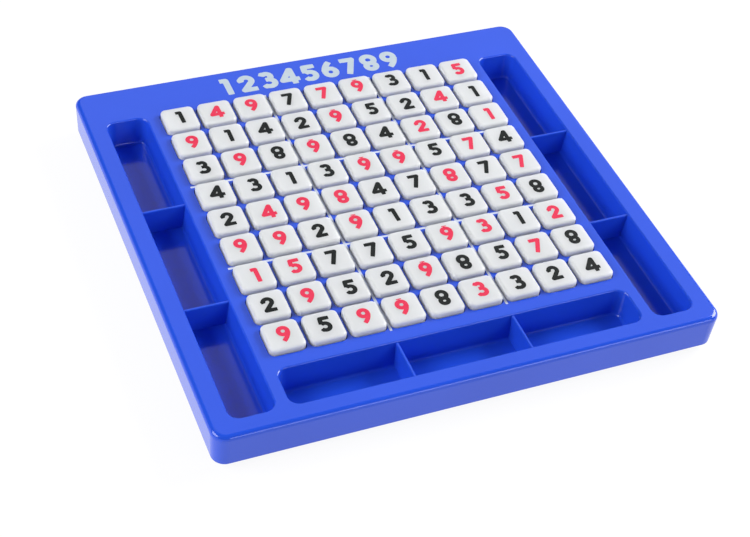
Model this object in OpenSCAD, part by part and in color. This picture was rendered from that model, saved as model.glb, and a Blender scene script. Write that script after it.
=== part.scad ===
// Number puzzle board: a moulded tray with nine by nine pockets, three long
// troughs split into bins, and eighty-one loose number tiles.
// Millimetres, +Z up, the front of the board towards -Y, and the origin on the
// table under the middle of the board.

/* [Tray] */
// Height of the outer skirt, from its lower edge to the deck
skirt_h = 17.8; // [17:0.1:24]
// How far the foot rim stands below the skirt
foot_h = 4.2; // [2:0.1:6]
// How far the foot rim is set back from the outside of the skirt
foot_setback = 7.6; // [6:0.1:8]
// Radius of the foot rim's outer corners
foot_corner_r = 6; // [4:0.5:8]
// Thickness of the foot rim
foot_t = 2.2; // [1.6:0.1:3]
// Radius of the tray's upright corners
corner_r = 7; // [6:0.5:12]
// Rounding of the tray's top outer edge
edge_round = 2.4; // [1:0.1:3]
// How much narrower the skirt is at its lower edge, on each side
skirt_draft = 0.6; // [0.2:0.1:1.2]
// Thickness of the skirt
skirt_t = 2.4; // [1.8:0.1:3]
// Thickness of the deck
deck_t = 2.4; // [1.6:0.1:3]

/* [Number grid] */
// Thickness of the ribs between columns of pockets
rib_x = 1.3; // [1:0.1:4]
// Thickness of the ribs between rows of pockets
rib_y = 1.5; // [1:0.1:4]
// Depth of each pocket below the deck
pocket_depth = 5; // [3:0.1:6]
// Thickness of the plate under the pockets
pocket_floor_t = 2; // [1.2:0.1:3]
// Depth of the plain band behind the grid
back_band = 25.2; // [20:0.1:36]

/* [Tiles] */
// Width and depth of a tile
tile_w = 17.2; // [14:0.1:22]
// Thickness of a tile
tile_t = 8; // [7:0.1:10]
// Radius of a tile's upright corners
tile_corner_r = 2.8; // [1.5:0.1:4]
// Rounding of a tile's top edge
tile_edge_round = 1.2; // [0.4:0.1:1.4]
// Gap between a tile and its pocket, on each side
tile_play = 0.5; // [0.2:0.05:0.6]

/* [Bins] */
// Width of each trough at its rim
bin_w = 21.1; // [18:0.1:30]
// Depth of each trough below the deck
bin_depth = 14.8; // [10:0.1:16]
// Radius of a trough's corners at its rim
bin_corner_r = 5.2; // [4:0.1:8]
// How much narrower a trough is at its floor, on each side
bin_draft = 1.2; // [0.4:0.1:2]
// Rounding of a trough's rim
bin_rim = 1; // [0.4:0.1:1.4]
// Rounding between a trough's walls and its floor
bin_floor_round = 1.4; // [0.6:0.1:2]
// Thickness of a trough's walls
bin_wall = 1.8; // [1.2:0.1:2.2]
// Thickness of a trough's floor
bin_floor_t = 2; // [1.2:0.1:2.4]
// Land between the outside of the board and a side trough
side_margin = 10.25; // [9.5:0.05:16]
// Land between the front of the board and the front trough
front_margin = 9.6; // [9.5:0.05:16]
// Land between the grid and a side trough
side_land = 5.9; // [4:0.1:10]
// Land between the grid and the front trough
front_land = 6.8; // [4:0.1:10]
// How far a side trough's back end lies in front of the grid's back edge
side_bin_setback = 1.1; // [0:0.1:10]
// How far each end of the front trough lies inside the grid's edge
front_bin_inset = 0.45; // [0:0.05:10]
// Thickness of a divider between two bins
divider_t = 1.3; // [0.9:0.1:2]
// How far a divider's top lies below the deck
divider_drop = 0.8; // [0.2:0.1:3]
// Bevel along a divider's top edges
divider_bevel = 0.35; // [0.1:0.05:0.4]

/* [Hidden] */
$fn = 48;
// Pockets along a side of the grid, along a side of a box, and bins in a trough
cells = 9;
box_cells = 3;
bins = 3;
// Overrun of a cutting shape past the face that it opens
over = 1;
// How far a divider runs into the walls and floor that carry it
key_in = 0.6;
// How far the rim's rounding is raised, so that it meets the deck at an angle
rim_raise = 0.06 * bin_rim;

// Ink of every tile, a row of the grid at a time from the back: b is black, r is red
INK = [
    "brrbrrbbr", "rbbbrbbrb", "brbrbbrbr",
    "bbbbrrbrb", "brrrbbrbr", "rrbrbbbrb",
    "rrbbbrrbr", "brbbrbbrb", "rbrrbrbbb"
];

pocket_w = tile_w + 2 * tile_play;
pitch_x = pocket_w + rib_x;
pitch_y = pocket_w + rib_y;
grid_w = cells * pitch_x;
grid_d = cells * pitch_y;
board_w = grid_w + 2 * (side_land + bin_w + side_margin);
board_d = back_band + grid_d + front_land + bin_w + front_margin;
deck_z = foot_h + skirt_h;
pocket_z = deck_z - pocket_depth;
bin_z = deck_z - bin_depth;
grid_y = board_d / 2 - back_band - grid_d / 2;
side_bin_x = grid_w / 2 + side_land + bin_w / 2;
side_bin_back = board_d / 2 - back_band - side_bin_setback;
side_bin_front = front_margin - board_d / 2;
side_bin_len = side_bin_back - side_bin_front;
side_bin_y = (side_bin_back + side_bin_front) / 2;
front_bin_len = grid_w - 2 * front_bin_inset;
front_bin_y = front_margin + bin_w / 2 - board_d / 2;

function col_x(c) = (c - (cells - 1) / 2) * pitch_x;
function row_y(r) = grid_y + ((cells - 1) / 2 - r) * pitch_y;
function is_red(r, c) = INK[r][c] == "r";
function box_row(b) = box_cells * floor(b / box_cells);
function box_col(b) = box_cells * (b % box_cells);
function black_name(r, c) = str("black_tile_row", r + 1, "_col", c + 1);
function red_name(b) = str("red_tiles_box", b + 1);

BLACK = [for (r = [0 : cells - 1], c = [0 : cells - 1]) if (!is_red(r, c)) [r, c]];

// A rectangle with round corners
module rounded_rect(w, d, r) {
    square([w - 2 * r, d], center = true);
    square([w, d - 2 * r], center = true);
    for (x = [-1, 1], y = [-1, 1])
        translate([x * (w / 2 - r), y * (d / 2 - r)]) circle(r);
}

// A block whose edge profile runs round a rectangle with corners of radius r.
// The profile is drawn from the corner's axis outwards, between heights z0 and z1.
module edged_block(w, d, r, z0, z1) {
    mid_w = w - 2 * r;
    mid_d = d - 2 * r;
    translate([-mid_w / 2, -mid_d / 2, z0]) cube([mid_w, mid_d, z1 - z0]);
    for (k = [0 : 3]) {
        along = k % 2 == 0 ? mid_d : mid_w;
        across = k % 2 == 0 ? mid_w : mid_d;
        rotate(90 * k) {
            translate([across / 2, along / 2, 0]) rotate_extrude(angle = 90) children();
            translate([across / 2, along / 2, 0]) rotate([90, 0, 0])
                linear_extrude(along) children();
        }
    }
}

// A profile from the axis out to r, with its top outer corner rounded
module rounded_top_profile(r, z0, z1, round, draft = 0) {
    polygon([[0, z0], [r - draft, z0], [r, z1 - round], [0, z1 - round]]);
    translate([0, z1 - round]) square([r - round, round]);
    intersection() {
        translate([r - round, z1 - round]) circle(round);
        translate([r - round, z1 - round]) square(round);
    }
}

// The hollow of a trough: rounded at the floor, sloping up, and opening out at the rim
module bin_profile() {
    r = bin_corner_r;
    rim_z = deck_z - bin_rim;
    lean = atan(bin_draft / (rim_z - bin_z));
    mid = [r - bin_draft - bin_floor_round * tan(45 - lean / 2), bin_z + bin_floor_round];
    toe = mid + bin_floor_round * [cos(lean), -sin(lean)];
    polygon([[0, bin_z], [mid[0], bin_z], mid, toe, [r, rim_z], [0, rim_z]]);
    intersection() {
        translate(mid) circle(bin_floor_round);
        polygon([mid, mid - [0, 2 * bin_floor_round],
            mid + 2 * bin_floor_round * [1, -1], 2 * toe - mid]);
    }
    difference() {
        translate([0, rim_z]) square([r + bin_rim, bin_rim + over]);
        translate([r + bin_rim, rim_z + rim_raise]) circle(bin_rim);
    }
}

// Places the front trough and the two side troughs, with their length along X
module at_front_bin() {
    translate([0, front_bin_y, 0]) children();
}
module at_side_bins() {
    for (x = [-1, 1]) translate([x * side_bin_x, side_bin_y, 0]) rotate(90) children();
}

// The hollow of one trough, and the cup of plastic that it stands in
module bin_hollow(len) {
    edged_block(len, bin_w, bin_corner_r, bin_z, deck_z + over) bin_profile();
}
module bin_cup(len) {
    translate([0, 0, bin_z - bin_floor_t]) linear_extrude(bin_depth + bin_floor_t)
        rounded_rect(len + 2 * bin_wall, bin_w + 2 * bin_wall, bin_corner_r + bin_wall);
}

// The thin walls that split one trough into bins
module bin_dividers(len) {
    top = bin_depth - divider_drop;
    half = divider_t / 2;
    for (k = [1 : bins - 1])
        translate([len * (k / bins - 1 / 2), bin_w / 2 + key_in, bin_z]) rotate([90, 0, 0])
            linear_extrude(bin_w + 2 * key_in)
                polygon([[-half, -key_in], [half, -key_in], [half, top - divider_bevel],
                    [half - divider_bevel, top], [divider_bevel - half, top],
                    [-half, top - divider_bevel]]);
}

// The board's outline, moved in all round
module inset_outline(inset, r) {
    rounded_rect(board_w - 2 * inset, board_d - 2 * inset, r);
}

// The space under the deck that the moulding leaves open
module underside() {
    under_z = deck_z - deck_t;
    translate([0, 0, foot_h - over]) linear_extrude(under_z - foot_h + over) difference() {
        inset_outline(skirt_t, corner_r - skirt_t);
        inset_outline(foot_setback, foot_corner_r);
    }
    difference() {
        translate([0, 0, -over]) linear_extrude(under_z + over)
            inset_outline(foot_setback + foot_t, foot_corner_r - foot_t);
        at_front_bin() bin_cup(front_bin_len);
        at_side_bins() bin_cup(side_bin_len);
        translate([-side_bin_x, front_bin_y, pocket_z - pocket_floor_t])
            cube([2 * side_bin_x, grid_y + grid_d / 2 - front_bin_y, pocket_depth + pocket_floor_t]);
    }
}

module tray() {
    color("#4468EC") {
        difference() {
            union() {
                edged_block(board_w, board_d, corner_r, foot_h, deck_z)
                    rounded_top_profile(corner_r, foot_h, deck_z, edge_round, skirt_draft);
                linear_extrude(foot_h) inset_outline(foot_setback, foot_corner_r);
            }
            underside();
            at_front_bin() bin_hollow(front_bin_len);
            at_side_bins() bin_hollow(side_bin_len);
            for (r = [0 : cells - 1], c = [0 : cells - 1])
                translate([col_x(c), row_y(r), pocket_z]) linear_extrude(pocket_depth + over)
                    rounded_rect(pocket_w, pocket_w, tile_corner_r + tile_play);
        }
        at_front_bin() bin_dividers(front_bin_len);
        at_side_bins() bin_dividers(side_bin_len);
    }
}

// One number tile in its pocket
module tile(r, c) {
    color("#E8E9EC") translate([col_x(c), row_y(r), pocket_z])
        edged_block(tile_w, tile_w, tile_corner_r, 0, tile_t)
            rounded_top_profile(tile_corner_r, 0, tile_t, tile_edge_round);
}

// The tiles of one box that carry a red number
module red_tiles(b) {
    for (r = [box_row(b) : box_row(b) + box_cells - 1], c = [box_col(b) : box_col(b) + box_cells - 1])
        if (is_red(r, c)) tile(r, c);
}

tray();
for (t = BLACK)
    tile(t[0], t[1]);
for (b = [0 : cells - 1])
    red_tiles(b);
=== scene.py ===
"""Looks of a number puzzle board: finishes for the moulded tray and its loose tiles, the printed
numbers and lines as thin films of ink, and a plain studio. Laid out as an add-on and run as a script.
"""

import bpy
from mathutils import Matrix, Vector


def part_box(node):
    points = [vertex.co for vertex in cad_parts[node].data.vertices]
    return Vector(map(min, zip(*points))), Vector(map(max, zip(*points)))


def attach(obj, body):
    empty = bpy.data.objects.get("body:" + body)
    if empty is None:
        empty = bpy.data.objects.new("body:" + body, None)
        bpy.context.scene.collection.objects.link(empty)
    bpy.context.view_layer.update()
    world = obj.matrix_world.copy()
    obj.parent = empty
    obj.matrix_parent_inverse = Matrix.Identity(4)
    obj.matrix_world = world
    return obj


bl_info = {
    "name": "Number puzzle board",
    "version": (1, 0, 0),
    "blender": (4, 5, 0),
    "location": "View3D > Sidebar > Number board",
    "description": "Plastic finishes, printed numbers and a studio for a number puzzle board",
    "category": "Object",
}

import bpy
import numpy as np
from bpy.props import FloatProperty, FloatVectorProperty, IntProperty, PointerProperty
from bpy.types import Operator, Panel, PropertyGroup
from mathutils import Matrix, Vector

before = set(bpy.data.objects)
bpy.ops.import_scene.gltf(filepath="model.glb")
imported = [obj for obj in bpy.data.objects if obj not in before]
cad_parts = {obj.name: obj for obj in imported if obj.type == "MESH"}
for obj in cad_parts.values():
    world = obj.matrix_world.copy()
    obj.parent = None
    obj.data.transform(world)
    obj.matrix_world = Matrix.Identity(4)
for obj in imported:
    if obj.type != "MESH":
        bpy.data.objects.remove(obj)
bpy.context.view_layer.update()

MM = 0.001
SIDE = 9
BOX_SIDE = 3
IMAGE_WIDTH = 750
SENSOR_WIDTH = 36.0

# Numbers on the tiles, a row of the grid at a time from the back band to the front trough.
# A six lies turned round in its pocket, with its bar towards the back band.
ROWS = (
    "149776315",
    "914265241",
    "398684281",
    "431366574",
    "249847877",
    "992613358",
    "157756312",
    "295268578",
    "959683324",
)


def black_node(row, col):
    """Name of the CAD node of a tile with a black number."""
    return f"black_tile_row{row + 1}_col{col + 1}"


def red_node(box):
    """Name of the CAD node that holds the red-numbered tiles of one box."""
    return f"red_tiles_box{box + 1}"


def is_black(row, col):
    """A tile with a black number has a node of its own."""
    return black_node(row, col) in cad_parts


def grid_lines():
    """Middles of the columns and rows of pockets, from the boxes of the single tiles: with the box
    middle m of every single tile, x[col] is the mean of m.x over its column and y[row] that of m.y."""
    spots = [(r, c) for r in range(SIDE) for c in range(SIDE) if is_black(r, c)]
    mids = np.array([np.mean(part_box(black_node(r, c)), axis=0) for r, c in spots])
    rows, cols = np.array(spots).T
    x = np.array([mids[cols == c, 0].mean() for c in range(SIDE)])
    y = np.array([mids[rows == r, 1].mean() for r in range(SIDE)])
    return x, y


COLUMN_X, ROW_Y = grid_lines()
DECK_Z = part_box("tray")[1].z
TILE_TOP_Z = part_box("red_tiles_box1")[1].z


def length(name, description, millimetres):
    """A length setting with its words and its default."""
    return FloatProperty(name=name, description=description, default=millimetres * MM, unit="LENGTH")


def angle(name, description, degrees):
    """An angle setting with its words and its default."""
    return FloatProperty(
        name=name, description=description, default=np.radians(degrees), subtype="ANGLE"
    )


def strength(name, description, default):
    """A light's power or strength, with its words."""
    return FloatProperty(name=name, description=description, default=default, min=0.0)


def colour(name, description, default):
    """A colour setting with its words and its default, in scene-linear red, green and blue."""
    return FloatVectorProperty(
        name=name, description=description, default=default, subtype="COLOR", size=3, min=0.0, max=1.0
    )


class PrintSizes(PropertyGroup):
    """Sizes of the printed numbers and lines."""

    stroke: length("Stroke", "Width of a number's strokes", 2.2)
    end_round: length("Stroke end rounding", "Rounding of the corners of a stroke's free end", 0.36)
    bar_width: length("Bar width", "Thickness of the bar under a six", 0.55)
    film: length("Film", "Height of the ink above what it is printed on", 0.03)
    grid_step: length("Outline step", "Spacing of the points along a number's outline", 0.2)
    wander: length("Wander", "Most that a number lies off its tile's middle", 0.55)
    twist: angle("Twist", "Most that a number is turned on its tile", 1.6)
    seed: IntProperty(name="Seed", description="Seed of the numbers' places on their tiles", default=7)
    line_width: length("Line width", "Width of the lines between boxes", 1.25)
    line_past: length("Line overrun", "How far a line runs past the outer tiles", 1.1)
    band_height: length("Band numbers", "Height of the numbers in the back band", 13.2)
    band_stroke: length("Band stroke", "Width of the strokes of the back band's numbers", 3.4)
    band_pitch: length("Band spacing", "Spacing of the numbers in the back band", 11.6)
    band_gap: length("Band gap", "From the back row's middle to the back band's numbers", 21.4)


class FinishColours(PropertyGroup):
    """Colours of the plastics and inks, in scene-linear values."""

    tray: colour("Tray", "Blue of the tray's plastic", (0.017, 0.081, 0.68))
    tray_deep: colour("Tray, deep", "Blue of the tray where its pigment is denser", (0.015, 0.074, 0.63))
    tile: colour("Tile", "White of the tiles' plastic", (0.672, 0.688, 0.70))
    tile_shade: colour("Tile, shade", "White of the tiles where pigment is thinner", (0.648, 0.663, 0.676))
    black: colour("Black ink", "Ink of the black numbers", (0.010, 0.012, 0.012))
    black_thin: colour("Black ink, thin", "Black ink where its film is thin", (0.016, 0.018, 0.018))
    red: colour("Red ink", "Ink of the red numbers", (0.70, 0.030, 0.080))
    red_thin: colour("Red ink, thin", "Red ink where its film is thin", (0.72, 0.050, 0.105))
    white: colour("White ink", "Ink of the lines between boxes", (0.60, 0.64, 0.76))
    white_thin: colour("White ink, thin", "White ink where its film is thin", (0.48, 0.54, 0.74))
    band: colour("Band ink", "Ink of the numbers in the back band", (0.48, 0.56, 0.61))
    band_thin: colour("Band ink, thin", "Band ink where its film is thin", (0.42, 0.50, 0.60))
    floor: colour("Floor", "Paper that the board stands on", (0.06, 0.06, 0.0605))


class StudioSizes(PropertyGroup):
    """Places and strengths of the camera and lights."""

    azimuth: angle("Azimuth", "Camera's turn from straight ahead", -26.77)
    elevation: angle("Elevation", "Camera's height angle", 44.17)
    roll: angle("Roll", "Camera's roll", 7.13)
    distance: length("Distance", "Camera to the point it looks at", 751.23)
    target: FloatVectorProperty(
        name="Target",
        description="Point on the deck that the camera looks at",
        default=(-21.47 * MM, -42.72 * MM),
        size=2,
        unit="LENGTH",
    )
    focal: FloatProperty(
        name="Focal length", description="Focal length in pixels of a picture 750 wide", default=1594.75
    )
    floor_half: length("Floor", "Half of the floor's width", 6000.0)
    world: strength("Room light", "Strength of the even room light", 0.06)
    horizon: strength("Horizon", "Strength of the pale wall near the horizon", 0.87)
    horizon_low: angle("Horizon's band", "Height angle up to which the wall is pale", 7.5)
    horizon_high: angle("Horizon's end", "Height angle where the pale wall has faded", 14.0)
    left: strength("Left light", "Power of the softbox on the left", 15.0)
    right: strength("Right light", "Power of the softbox on the right", 19.5)
    front: strength("Front light", "Power of the low light in front", 4.5)
    card: strength("Back card", "Power of the pale card that the gloss mirrors", 3.6)
    paper_glow: strength("Paper glow", "Light that the lit paper gives by itself", 0.93)


def settings():
    """The add-on's three groups of settings: print, finish and studio."""
    scene = bpy.context.scene
    return scene.board_print, scene.board_finish, scene.board_studio


# Numerals

def arc(mid, radius, start, end, count=28):
    """Points on an ellipse: mid + (radius_x cos t, radius_y sin t), t from start to end in degrees."""
    t = np.radians(np.linspace(start, end, count))
    return np.asarray(mid) + np.asarray(radius) * np.stack([np.cos(t), np.sin(t)], -1)


def bend(first, pull, last, count=20):
    """Points on a parabola: (1 - t)^2 first + 2 t (1 - t) pull + t^2 last, with t from 0 to 1."""
    t = np.linspace(0.0, 1.0, count)[:, None]
    first, pull, last = map(np.asarray, (first, pull, last))
    return (1 - t) ** 2 * first + 2 * t * (1 - t) * pull + t**2 * last


def course(*parts):
    """One stroke's middle line: its points and curves joined end to end."""
    return np.concatenate([np.atleast_2d(np.asarray(p, float)) for p in parts])


# Middle lines of the numerals' strokes, in millimetres from the numeral's middle.
NINE = (
    arc((0.0, 1.55), (2.06, 2.06), 0, 360, 49),
    course(bend((2.06, 1.5), (2.1, -1.35), (-1.15, -4.35))),
)
NUMERALS = {
    "1": (course((-1.65, 3.64), (0.68, 3.64), (0.68, -4.6)),),
    "2": (course(arc((0.0, 1.62), (2.0, 2.0), 196, -36), (-2.0, -3.6), (3.08, -3.6)),),
    "3": (
        course(
            arc((0.0, 2.0), (2.1, 1.66), 158, 90),
            arc((0.0, 2.0), (1.5, 1.72), 90, -90),
            (-0.9, 0.28),
        ),
        course(arc((0.0, -1.7), (2.12, 1.98), 90, -90), arc((0.0, -1.7), (2.3, 1.98), 270, 202)),
    ),
    "4": (course((3.8, -1.93), (-2.85, -1.93), (1.2, 3.72), (1.42, 3.72), (1.42, -4.6)),),
    "5": (
        course((3.05, 3.66), (-1.12, 3.66), (-1.5, 0.18)),
        course((-1.5, 0.0), arc((0.0, -1.5), (2.12, 2.12), 122, -154)),
    ),
    "6": tuple(-line for line in NINE),
    "7": (course((-2.95, 3.68), (1.95, 3.68), (-1.45, -4.6)),),
    "8": (
        arc((0.0, 1.7), (2.2, 2.2), 0, 360, 49),
        arc((0.0, -2.1), (1.86, 1.74), 0, 360, 49),
    ),
    "9": NINE,
}
NUMERAL_HEIGHT = 9.2
SIX_BAR = course((-1.3, -5.15), (1.3, -5.15))
# Half of the area, in millimetres, that a numeral's outline is looked for in.
REACH = np.array((4.6, 6.2))
# Length of the box that squares off a stroke's end, as a share of the stroke's width.
END_LENGTH_SHARE = 0.3
# Step for the slope of an outline's distance, as a share of the grid's step.
PROBE_SHARE = 0.02
# Points nearer than this are one point, in metres.
SAME_POINT = 1e-6
# A line between boxes is three grid steps wide, and its ends are rounded by a sixth of its width.
LINE_STEPS = 3
LINE_ROUND_SHARE = 1 / 6


def line_distance(points, line):
    """Distance of every point from a line of segments: the least over segments ab of
    |p - a - t (b - a)|, with t the point's share along the segment, kept between 0 and 1."""
    a, span = line[:-1], np.diff(line, axis=0)
    apart = points[:, None, :] - a
    t = np.clip((apart * span).sum(-1) / (span**2).sum(-1), 0.0, 1.0)
    return np.linalg.norm(apart - t[..., None] * span, axis=-1).min(1)


def box_distance(points, mid, along, half, rounding):
    """Signed distance from a turned box with round corners: with q the point in the box's own axes,
    |max(|q| - half + rounding, 0)| - rounding, and the larger of its parts where both are inside."""
    across = np.array((-along[1], along[0]))
    q = np.abs(np.stack([(points - mid) @ along, (points - mid) @ across], -1)) - half + rounding
    return np.linalg.norm(np.maximum(q, 0), axis=-1) + np.minimum(q.max(-1), 0) - rounding


def stroke_distance(points, line, width, rounding):
    """Signed distance from a pen stroke: its middle line, less half its width. A free end is drawn
    back by half the width and squared off by a small box with its corners rounded."""
    if np.allclose(line[0], line[-1]):
        return line_distance(points, line) - width / 2
    ends = [(line[0], line[0] - line[1]), (line[-1], line[-1] - line[-2])]
    trimmed = line.copy()
    boxes = []
    for tip, way in ends:
        way = way / np.linalg.norm(way)
        near = np.linalg.norm(line - tip, axis=1) < width / 2
        trimmed[near] = tip - way * width / 2
        half = np.array((width * END_LENGTH_SHARE / 2, width / 2))
        boxes.append(box_distance(points, tip - way * half[0], way, half, min(rounding, half.min())))
    keep = np.r_[True, np.linalg.norm(np.diff(trimmed, axis=0), axis=1) > SAME_POINT]
    return np.minimum.reduce([line_distance(points, trimmed[keep]) - width / 2, *boxes])


def film(distance, low, high, step, base, top):
    """A thin closed film of ink with the outline distance = 0. Of a square grid, the cells whose middle
    has a negative distance d are kept. Each corner p on their border moves to p - d grad d / |grad d|.
    The sheet at height top gets a copy at height base and a strip of side faces round its border."""
    axes = [np.arange(lo, hi + step, step) for lo, hi in zip(low, high)]
    grid = np.stack(np.meshgrid(*axes, indexing="ij"), -1)
    middle = (grid[:-1, :-1] + grid[1:, 1:]) / 2
    inside = (distance(middle.reshape(-1, 2)) < 0).reshape(middle.shape[:2])
    padded = np.pad(inside, 1).astype(int)
    touching = padded[:-1, :-1] + padded[1:, :-1] + padded[:-1, 1:] + padded[1:, 1:]
    border = (touching > 0) & (touching < 4)
    p = grid[border]
    e = step * PROBE_SHARE
    dx, dy = np.array((e, 0.0)), np.array((0.0, e))
    slope = np.stack([distance(p + dx) - distance(p - dx), distance(p + dy) - distance(p - dy)], -1)
    slope /= np.maximum(np.linalg.norm(slope, axis=1, keepdims=True), np.finfo(float).tiny)
    grid[border] = p - distance(p)[:, None] * slope
    used = touching > 0
    index = np.cumsum(used.ravel()).reshape(used.shape) - 1
    count = int(used.sum())
    flat = grid[used]
    verts = np.concatenate([np.c_[flat, np.full(count, top)], np.c_[flat, np.full(count, base)]])
    i, j = np.nonzero(inside)
    sheet = np.stack([index[i, j], index[i + 1, j], index[i + 1, j + 1], index[i, j + 1]], -1)
    strips = []
    sides = (
        ((0, -1), (0, 0), (1, 0)),
        ((1, 0), (1, 0), (1, 1)),
        ((0, 1), (1, 1), (0, 1)),
        ((-1, 0), (0, 1), (0, 0)),
    )
    for way, first, last in sides:
        out = padded[i + 1 + way[0], j + 1 + way[1]] == 0
        a = index[i[out] + first[0], j[out] + first[1]]
        b = index[i[out] + last[0], j[out] + last[1]]
        strips.append(np.stack([a + count, b + count, b, a], -1))
    return verts, np.concatenate([sheet, sheet[:, ::-1] + count, *strips])


_films = {}


def numeral_film(digit, with_bar=False, turned=False, stroke=None):
    """The film of one numeral about its own middle, made once and kept."""
    key = (digit, with_bar, turned, stroke)
    if key not in _films:
        sizes = settings()[0]
        strokes = [(line * MM, stroke or sizes.stroke) for line in NUMERALS[digit]]
        if with_bar:
            strokes.append((SIX_BAR * MM, sizes.bar_width))
        if turned:
            strokes = [(-line, width) for line, width in strokes]

        def distance(points):
            each = [stroke_distance(points, line, width, sizes.end_round) for line, width in strokes]
            return np.minimum.reduce(each)

        _films[key] = film(distance, -REACH * MM, REACH * MM, sizes.grid_step, -sizes.film, sizes.film)
    return _films[key]


def placed(shape, x, y, z, turn=0.0, scale=1.0):
    """A film turned about its middle, scaled in plan and moved to x, y, z."""
    verts, faces = shape
    c, s = np.cos(turn), np.sin(turn)
    plan = verts[:, :2] * scale @ np.array(((c, s), (-s, c)))
    return np.c_[plan + (x, y), verts[:, 2] + z], faces


def joined(shapes):
    """Several shapes as one: their vertices one after another, and their faces counted on."""
    starts = np.cumsum([0] + [len(v) for v, _ in shapes[:-1]])
    return (
        np.concatenate([v for v, _ in shapes]),
        np.concatenate([f + start for (_, f), start in zip(shapes, starts)]),
    )


def add_piece(name, shape, material, body):
    """A mesh piece made from arrays, riding on a body and taking its finish from a slot."""
    verts, faces = shape
    mesh = bpy.data.meshes.new(name)
    mesh.from_pydata(verts.tolist(), [], faces.tolist())
    mesh.materials.append(material)
    mesh.update()
    piece = bpy.data.objects.new(name, mesh)
    bpy.context.scene.collection.objects.link(piece)
    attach(piece, body)
    return piece


# Materials

# Noise scales, in waves a metre, of the plastics' and inks' patterns.
MOTTLE_SCALE = 14.0
PEEL_SCALE, PEEL_FINE_SCALE = 240.0, 900.0
HAIR_SCALE, HAIR_PATCH_SCALE = 160.0, 22.0
INK_SCALE, INK_GRAIN_SCALE = 260.0, 2400.0
PAPER_SCALE = 30.0
# Turn and stretch of the hairline scuffs.
HAIR_TURN, HAIR_STRETCH = 0.6, 9.0
# Scale of the skin, roughness, roughness where scuffed, strength of the peel, and scattered share.
TRAY_SKIN = (1.0, 0.14, 0.19, 0.06, 0.0)
TILE_SKIN = (1.6, 0.3, 0.42, 0.16, 0.6)
PLASTIC_IOR = 1.5
# How far light goes inside the plastic, alike in red, green and blue.
SCATTER_REACH = 14.0 * MM
SCATTER_SHARES = (1.0, 1.0, 1.0)
PEEL_DEPTH = 0.02 * MM
# Roughness of the numbers' ink, the lines' and the back band's, and how much their grain adds.
NUMBER_ROUGHNESS, LINE_ROUGHNESS, BAND_ROUGHNESS = 0.5, 0.4, 0.42
GRAIN_ROUGHNESS = 0.14
GRAIN_STRENGTH, GRAIN_DEPTH = 0.12, 0.01 * MM
INK_SPECULAR = 0.15
PAPER_ROUGHNESS = 0.8
PAPER_SHADE = 0.99


def link(tree, out, into):
    """Joins an output socket to an input socket."""
    tree.links.new(out, into)


def node(tree, kind, **inputs):
    """A shader node of one kind, with the values of its named inputs."""
    made = tree.nodes.new(kind)
    for name, value in inputs.items():
        made.inputs[name.replace("_", " ")].default_value = value
    return made


def noise(tree, source, scale, detail=2.0, roughness=0.5):
    """A noise node on given coordinates."""
    made = node(tree, "ShaderNodeTexNoise", Scale=scale, Detail=detail, Roughness=roughness)
    link(tree, source, made.inputs["Vector"])
    return made.outputs[0]


def ranged(tree, source, low, high, to_low, to_high):
    """A value carried from one range to another and kept inside it."""
    made = tree.nodes.new("ShaderNodeMapRange")
    for k, v in zip(("From Min", "From Max", "To Min", "To Max"), (low, high, to_low, to_high)):
        made.inputs[k].default_value = v
    link(tree, source, made.inputs["Value"])
    return made.outputs["Result"]


def maths(tree, kind, first, second):
    """A sum, product or the like of two values, each a socket or a number."""
    made = tree.nodes.new("ShaderNodeMath")
    made.operation = kind
    for socket, value in zip(made.inputs, (first, second)):
        if isinstance(value, (int, float)):
            socket.default_value = value
        else:
            link(tree, value, socket)
    return made.outputs[0]


def new_group(name, inputs, outputs):
    """An empty shader group with float and vector inputs and float outputs."""
    group = bpy.data.node_groups.new(name, "ShaderNodeTree")
    for socket, (kind, default) in inputs.items():
        made = group.interface.new_socket(socket, in_out="INPUT", socket_type=kind)
        if default is not None:
            made.default_value = default
    for socket in outputs:
        group.interface.new_socket(socket, in_out="OUTPUT", socket_type="NodeSocketFloat")
    return group, group.nodes.new("NodeGroupInput"), group.nodes.new("NodeGroupOutput")


def scaled(tree, coordinates, scale):
    """Coordinates times a scale socket, so that a group's pattern follows its Scale input."""
    made = tree.nodes.new("ShaderNodeVectorMath")
    made.operation = "SCALE"
    link(tree, coordinates, made.inputs[0])
    link(tree, scale, made.inputs["Scale"])
    return made.outputs[0]


def moulded_group():
    """Skin of a moulded plastic: a slow mottle of the pigment, the fine peel of the mould's polish,
    and sparse hairline scuffs that dull it."""
    name = "moulded_skin"
    if name in bpy.data.node_groups:
        return bpy.data.node_groups[name]
    vector, value = "NodeSocketVector", "NodeSocketFloat"
    group, into, out = new_group(
        name, {"Coordinates": (vector, None), "Scale": (value, 1.0)}, ("Mottle", "Peel", "Scuff")
    )
    at = scaled(group, into.outputs["Coordinates"], into.outputs["Scale"])
    mottle = noise(group, at, MOTTLE_SCALE, 3.0, 0.55)
    link(group, ranged(group, mottle, 0.3, 0.7, 0.0, 1.0), out.inputs["Mottle"])
    peel = maths(group, "MULTIPLY_ADD", noise(group, at, PEEL_FINE_SCALE, 1.0), 0.5)
    link(group, noise(group, at, PEEL_SCALE), peel.node.inputs[2])
    link(group, peel, out.inputs["Peel"])
    turn, stretch = (0.0, 0.0, HAIR_TURN), (1.0, HAIR_STRETCH, 1.0)
    along = node(group, "ShaderNodeMapping", Rotation=turn, Scale=stretch)
    link(group, at, along.inputs["Vector"])
    hair = noise(group, along.outputs[0], HAIR_SCALE, 4.0, 0.6)
    hair = ranged(group, hair, 0.60, 0.72, 0.0, 1.0)
    patch = ranged(group, noise(group, at, HAIR_PATCH_SCALE), 0.48, 0.66, 0.0, 1.0)
    link(group, maths(group, "MULTIPLY", hair, patch), out.inputs["Scuff"])
    return group


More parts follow.
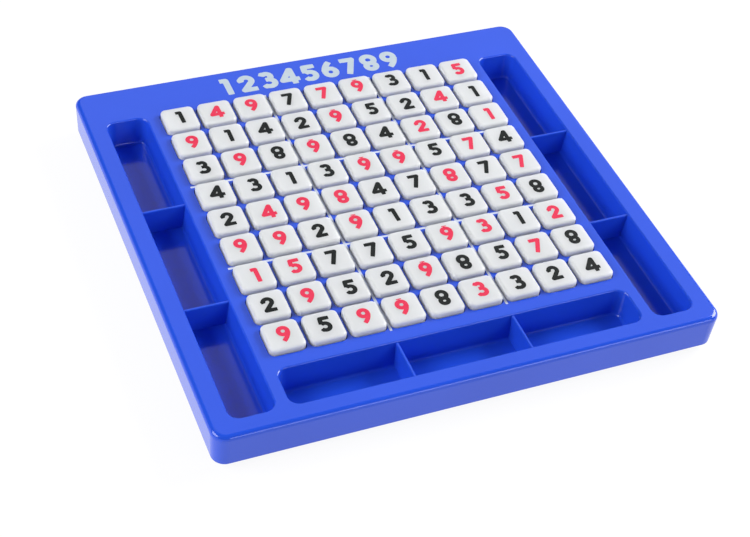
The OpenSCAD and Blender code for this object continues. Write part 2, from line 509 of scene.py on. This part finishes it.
def ink_group():
    """Film of printing ink: a slow change of its thickness, and fine pinholes and grain."""
    name = "ink_film"
    if name in bpy.data.node_groups:
        return bpy.data.node_groups[name]
    vector, value = "NodeSocketVector", "NodeSocketFloat"
    group, into, out = new_group(
        name, {"Coordinates": (vector, None), "Scale": (value, 1.0)}, ("Thin", "Grain")
    )
    at = scaled(group, into.outputs["Coordinates"], into.outputs["Scale"])
    slow = ranged(group, noise(group, at, INK_SCALE, 3.0, 0.6), 0.35, 0.75, 0.0, 0.7)
    fine = noise(group, at, INK_GRAIN_SCALE, 2.0, 0.6)
    specks = ranged(group, fine, 0.62, 0.74, 0.0, 0.6)
    link(group, maths(group, "ADD", slow, specks), out.inputs["Thin"])
    link(group, fine, out.inputs["Grain"])
    return group


def new_material(name):
    """A material with its tree, its shader and the object's own coordinates."""
    material = bpy.data.materials.new(name)
    material.use_nodes = True
    tree = material.node_tree
    shader = next(n for n in tree.nodes if n.type == "BSDF_PRINCIPLED")
    place = tree.nodes.new("ShaderNodeTexCoord").outputs["Object"]
    return material, tree, shader, place


def use_group(tree, group, place, scale):
    """A shader group placed in a material, on the object's coordinates."""
    made = tree.nodes.new("ShaderNodeGroup")
    made.node_tree = group
    made.inputs["Scale"].default_value = scale
    link(tree, place, made.inputs["Coordinates"])
    return made


def two_tone(tree, shader, mask, first, second):
    """Base colour that goes from one tone to another by a mask."""
    mix = tree.nodes.new("ShaderNodeMix")
    mix.data_type = "RGBA"
    link(tree, mask, mix.inputs["Factor"])
    for socket in mix.inputs:
        if socket.type == "RGBA" and socket.name in ("A", "B"):
            socket.default_value = (*(first if socket.name == "A" else second), 1.0)
    result = next(s for s in mix.outputs if s.type == "RGBA")
    link(tree, result, shader.inputs["Base Color"])


def bumped(tree, shader, height, strength, depth):
    """A bump of the given height feeding the shader's normal."""
    bump = node(tree, "ShaderNodeBump", Strength=strength, Distance=depth)
    link(tree, height, bump.inputs["Height"])
    link(tree, bump.outputs["Normal"], shader.inputs["Normal"])


def plastic(name, tone, second_tone, scale, roughness, scuffed, peel, scatter):
    """Moulded plastic: two close tones, a gloss that scuffs dull, a faint peel, and the share of its
    light that is scattered inside it and comes out at its sides."""
    material, tree, shader, place = new_material(name)
    skin = use_group(tree, moulded_group(), place, scale)
    two_tone(tree, shader, skin.outputs["Mottle"], tone, second_tone)
    gloss = ranged(tree, skin.outputs["Scuff"], 0.0, 1.0, roughness, scuffed)
    link(tree, gloss, shader.inputs["Roughness"])
    bumped(tree, shader, skin.outputs["Peel"], peel, PEEL_DEPTH)
    shader.inputs["IOR"].default_value = PLASTIC_IOR
    shader.inputs["Subsurface Weight"].default_value = scatter
    shader.inputs["Subsurface Radius"].default_value = SCATTER_SHARES
    shader.inputs["Subsurface Scale"].default_value = SCATTER_REACH
    return material


def ink(name, tone, thin_tone, roughness):
    """Printing ink: its tone, lighter where the film is thin, with a fine grain."""
    material, tree, shader, place = new_material(name)
    print_film = use_group(tree, ink_group(), place, 1.0)
    two_tone(tree, shader, print_film.outputs["Thin"], tone, thin_tone)
    grain = print_film.outputs["Grain"]
    gloss = ranged(tree, grain, 0.3, 0.7, roughness, roughness + GRAIN_ROUGHNESS)
    link(tree, gloss, shader.inputs["Roughness"])
    bumped(tree, shader, grain, GRAIN_STRENGTH, GRAIN_DEPTH)
    shader.inputs["Specular IOR Level"].default_value = INK_SPECULAR
    return material


class BOARD_OT_finish_tray(Operator):
    """Gives the tray its glossy blue moulded plastic"""

    bl_idname = "number_board.finish_tray"
    bl_label = "Finish the tray"

    def execute(self, context):
        tones = settings()[1]
        blue = plastic("tray_gloss_blue", tones.tray, tones.tray_deep, *TRAY_SKIN)
        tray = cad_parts["tray"].data
        tray.materials.clear()
        tray.materials.append(blue)
        return {"FINISHED"}


class BOARD_OT_finish_tiles(Operator):
    """Gives every number tile its smooth white moulded plastic"""

    bl_idname = "number_board.finish_tiles"
    bl_label = "Finish the tiles"

    def execute(self, context):
        tones = settings()[1]
        white = plastic("tile_smooth_white", tones.tile, tones.tile_shade, *TILE_SKIN)
        for name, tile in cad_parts.items():
            if name != "tray":
                tile.data.materials.clear()
                tile.data.materials.append(white)
        return {"FINISHED"}


def tile_numerals():
    """The film of every tile's number in its place, by row and column. The places wander a little
    from tile to tile, and are drawn in reading order from one seed."""
    sizes = settings()[0]
    draw = np.random.default_rng(sizes.seed)
    shifts = draw.uniform(-1.0, 1.0, (SIDE, SIDE, 3)) * (sizes.wander, sizes.wander, sizes.twist)
    made = {}
    for row, digits in enumerate(ROWS):
        for col, digit in enumerate(digits):
            shape = numeral_film(digit, digit == "6", digit == "6")
            dx, dy, turn = shifts[row, col]
            made[row, col] = placed(shape, COLUMN_X[col] + dx, ROW_Y[row] + dy, TILE_TOP_Z, turn)
    return made


class BOARD_OT_print_black(Operator):
    """Prints the black numbers, a film of ink on each tile"""

    bl_idname = "number_board.print_black"
    bl_label = "Print the black numbers"

    def execute(self, context):
        tones = settings()[1]
        black = ink("ink_black", tones.black, tones.black_thin, NUMBER_ROUGHNESS)
        for (row, col), shape in tile_numerals().items():
            if is_black(row, col):
                name = f"number_row{row + 1}_col{col + 1}"
                add_piece(name, shape, black, black_node(row, col))
        return {"FINISHED"}


class BOARD_OT_print_red(Operator):
    """Prints the red numbers, the films of each box of tiles as one piece"""

    bl_idname = "number_board.print_red"
    bl_label = "Print the red numbers"

    def execute(self, context):
        tones = settings()[1]
        red = ink("ink_red", tones.red, tones.red_thin, NUMBER_ROUGHNESS)
        shapes = tile_numerals()
        for box in range(SIDE):
            spot = divmod(box, BOX_SIDE)
            mine = [
                shape
                for (row, col), shape in shapes.items()
                if (row // BOX_SIDE, col // BOX_SIDE) == spot and not is_black(row, col)
            ]
            add_piece(f"numbers_red_box{box + 1}", joined(mine), red, red_node(box))
        return {"FINISHED"}


class BOARD_OT_print_lines(Operator):
    """Prints the white lines between the boxes of the grid"""

    bl_idname = "number_board.print_lines"
    bl_label = "Print the lines"

    def execute(self, context):
        sizes, tones, _ = settings()
        white = ink("print_white", tones.white, tones.white_thin, LINE_ROUGHNESS)
        tile_low, tile_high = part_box(black_node(0, 0))
        half_tile = (tile_high.x - tile_low.x) / 2
        far_x = (COLUMN_X[-1] - COLUMN_X[0]) / 2 + half_tile + sizes.line_past
        far_y = (ROW_Y[0] - ROW_Y[-1]) / 2 + half_tile + sizes.line_past
        mid = np.array(((COLUMN_X[0] + COLUMN_X[-1]) / 2, (ROW_Y[0] + ROW_Y[-1]) / 2))
        half = sizes.line_width / 2
        bars = []
        for k in range(BOX_SIDE, SIDE, BOX_SIDE):
            x, y = (COLUMN_X[k - 1] + COLUMN_X[k]) / 2, (ROW_Y[k - 1] + ROW_Y[k]) / 2
            bars.append((np.array((x, mid[1])), np.array((0.0, 1.0)), np.array((far_y, half))))
            bars.append((np.array((mid[0], y)), np.array((1.0, 0.0)), np.array((far_x, half))))

        rounding = sizes.line_width * LINE_ROUND_SHARE

        def distance(points):
            return np.minimum.reduce([box_distance(points, *bar, rounding) for bar in bars])

        reach = np.array((far_x, far_y)) + sizes.line_width
        step = sizes.line_width / LINE_STEPS
        shape = film(distance, mid - reach, mid + reach, step, -sizes.film, sizes.film)
        add_piece("lines_between_boxes", placed(shape, 0.0, 0.0, DECK_Z), white, "board")
        return {"FINISHED"}


class BOARD_OT_print_band(Operator):
    """Prints a row of numbers from one to nine in the back band"""

    bl_idname = "number_board.print_band"
    bl_label = "Print the back band"

    def execute(self, context):
        sizes, tones, _ = settings()
        pale = ink("print_band", tones.band, tones.band_thin, BAND_ROUGHNESS)
        scale = sizes.band_height / (NUMERAL_HEIGHT * MM)
        middle = (COLUMN_X[0] + COLUMN_X[-1]) / 2
        shapes = [
            placed(
                numeral_film(str(k + 1), stroke=sizes.band_stroke / scale),
                middle + (k - (SIDE - 1) / 2) * sizes.band_pitch,
                ROW_Y[0] + sizes.band_gap,
                DECK_Z,
                0.0,
                scale,
            )
            for k in range(SIDE)
        ]
        add_piece("band_numbers", joined(shapes), pale, "board")
        return {"FINISHED"}


def area_light(name, at, aim, width, depth, power):
    """A soft rectangular light at a point, turned towards another."""
    data = bpy.data.lights.new(name, "AREA")
    data.shape = "RECTANGLE"
    data.size, data.size_y = width, depth
    data.energy = power
    lamp = bpy.data.objects.new(name, data)
    lamp.location = at
    lamp.rotation_euler = (Vector(aim) - Vector(at)).to_track_quat("-Z", "Y").to_euler()
    bpy.context.scene.collection.objects.link(lamp)
    return lamp


def view_axes(studio):
    """The camera's right, up and back directions. With a the azimuth and e the elevation, back is
    (sin a cos e, -cos a cos e, sin e) and right is (cos a, sin a, 0), both then turned by the roll."""
    a, e, roll = studio.azimuth, studio.elevation, studio.roll
    back = Vector((np.sin(a) * np.cos(e), -np.cos(a) * np.cos(e), np.sin(e)))
    right = Vector((np.cos(a), np.sin(a), 0.0))
    up = back.cross(right)
    return right * np.cos(roll) + up * np.sin(roll), up * np.cos(roll) - right * np.sin(roll), back


# Name of each light, where it stands, its width and depth in metres, and the setting of its power.
LIGHTS = (
    ("left_softbox", (-1.1, 0.05, 0.75), 0.9, 0.7, "left"),
    ("right_softbox", (1.1, 0.15, 0.8), 0.8, 0.6, "right"),
    ("front_softbox", (0.5, -1.1, 0.55), 0.9, 0.4, "front"),
    ("back_card", (0.5, 1.0, 1.05), 1.3, 1.2, "card"),
)
WHITE_LIGHT = (1.0, 1.0, 1.0, 1.0)
NEAR_CLIP = 0.01


def lay_floor(tones, studio):
    """A square of plain white paper that glows a little, so that it shades less than it is lit."""
    paper, tree, shader, place = new_material("floor_paper")
    shade = tuple(PAPER_SHADE * v for v in tones.floor)
    two_tone(tree, shader, noise(tree, place, PAPER_SCALE, 3.0), tones.floor, shade)
    shader.inputs["Roughness"].default_value = PAPER_ROUGHNESS
    shader.inputs["Emission Color"].default_value = WHITE_LIGHT
    shader.inputs["Emission Strength"].default_value = studio.paper_glow
    mesh = bpy.data.meshes.new("floor")
    far = studio.floor_half
    corners = [(-far, -far, 0), (far, -far, 0), (far, far, 0), (-far, far, 0)]
    mesh.from_pydata(corners, [], [(0, 1, 2, 3)])
    mesh.materials.append(paper)
    floor = bpy.data.objects.new("floor", mesh)
    bpy.context.scene.collection.objects.link(floor)


def light_room(studio):
    """Even room light, paler near the horizon: with z the height of a direction of length one, the
    strength falls from the horizon's to the room's between the sines of the band's two angles."""
    world = bpy.data.worlds.new("studio_room")
    world.use_nodes = True
    tree = world.node_tree
    room = tree.nodes["Background"]
    room.inputs["Color"].default_value = WHITE_LIGHT
    height = tree.nodes.new("ShaderNodeSeparateXYZ")
    link(tree, tree.nodes.new("ShaderNodeTexCoord").outputs["Generated"], height.inputs[0])
    band = np.sin((studio.horizon_low, studio.horizon_high))
    fade = ranged(tree, height.outputs["Z"], *band, studio.horizon, studio.world)
    link(tree, fade, room.inputs["Strength"])
    bpy.context.scene.world = world


def stand_camera(studio):
    """The camera, turned by its three directions and standing back from its target on the deck."""
    right, up, back = view_axes(studio)
    spot = Vector((*studio.target, DECK_Z)) + back * studio.distance
    lens = bpy.data.cameras.new("camera")
    lens.sensor_fit = "HORIZONTAL"
    lens.sensor_width = SENSOR_WIDTH
    lens.lens = studio.focal * SENSOR_WIDTH / IMAGE_WIDTH
    lens.clip_start = NEAR_CLIP
    camera = bpy.data.objects.new("camera", lens)
    camera.matrix_world = Matrix.Translation(spot) @ Matrix((right, up, back)).transposed().to_4x4()
    bpy.context.scene.collection.objects.link(camera)
    bpy.context.scene.camera = camera


class BOARD_OT_set_studio(Operator):
    """Lays the floor and sets the lights and the camera"""

    bl_idname = "number_board.set_studio"
    bl_label = "Set the studio"

    def execute(self, context):
        _, tones, studio = settings()
        context.scene.view_settings.view_transform = "Standard"
        context.scene.view_settings.look = "None"
        lay_floor(tones, studio)
        light_room(studio)
        for name, at, width, depth, power in LIGHTS:
            area_light(name, at, (0.0, 0.0, DECK_Z), width, depth, getattr(studio, power))
        stand_camera(studio)
        return {"FINISHED"}


class BOARD_PT_panel(Panel):
    """Lists the board's pieces in the order in which they are made"""

    bl_label = "Number board"
    bl_idname = "BOARD_PT_panel"
    bl_space_type = "VIEW_3D"
    bl_region_type = "UI"
    bl_category = "Number board"

    def draw(self, context):
        for operator in OPERATORS:
            self.layout.operator(operator.bl_idname)


OPERATORS = (
    BOARD_OT_finish_tray,
    BOARD_OT_finish_tiles,
    BOARD_OT_print_black,
    BOARD_OT_print_red,
    BOARD_OT_print_lines,
    BOARD_OT_print_band,
    BOARD_OT_set_studio,
)
GROUPS = {"board_print": PrintSizes, "board_finish": FinishColours, "board_studio": StudioSizes}


def register():
    """Registers the settings, the operators and the panel."""
    for name, group in GROUPS.items():
        bpy.utils.register_class(group)
        setattr(bpy.types.Scene, name, PointerProperty(type=group))
    for made in (*OPERATORS, BOARD_PT_panel):
        bpy.utils.register_class(made)


def unregister():
    """Takes away what register added."""
    for made in (BOARD_PT_panel, *reversed(OPERATORS)):
        bpy.utils.unregister_class(made)
    for name, group in reversed(GROUPS.items()):
        delattr(bpy.types.Scene, name)
        bpy.utils.unregister_class(group)


def main():
    """Makes every piece in order."""
    register()
    for operator in OPERATORS:
        family, action = operator.bl_idname.split(".")
        getattr(getattr(bpy.ops, family), action)()


if __name__ == "__main__":
    main()
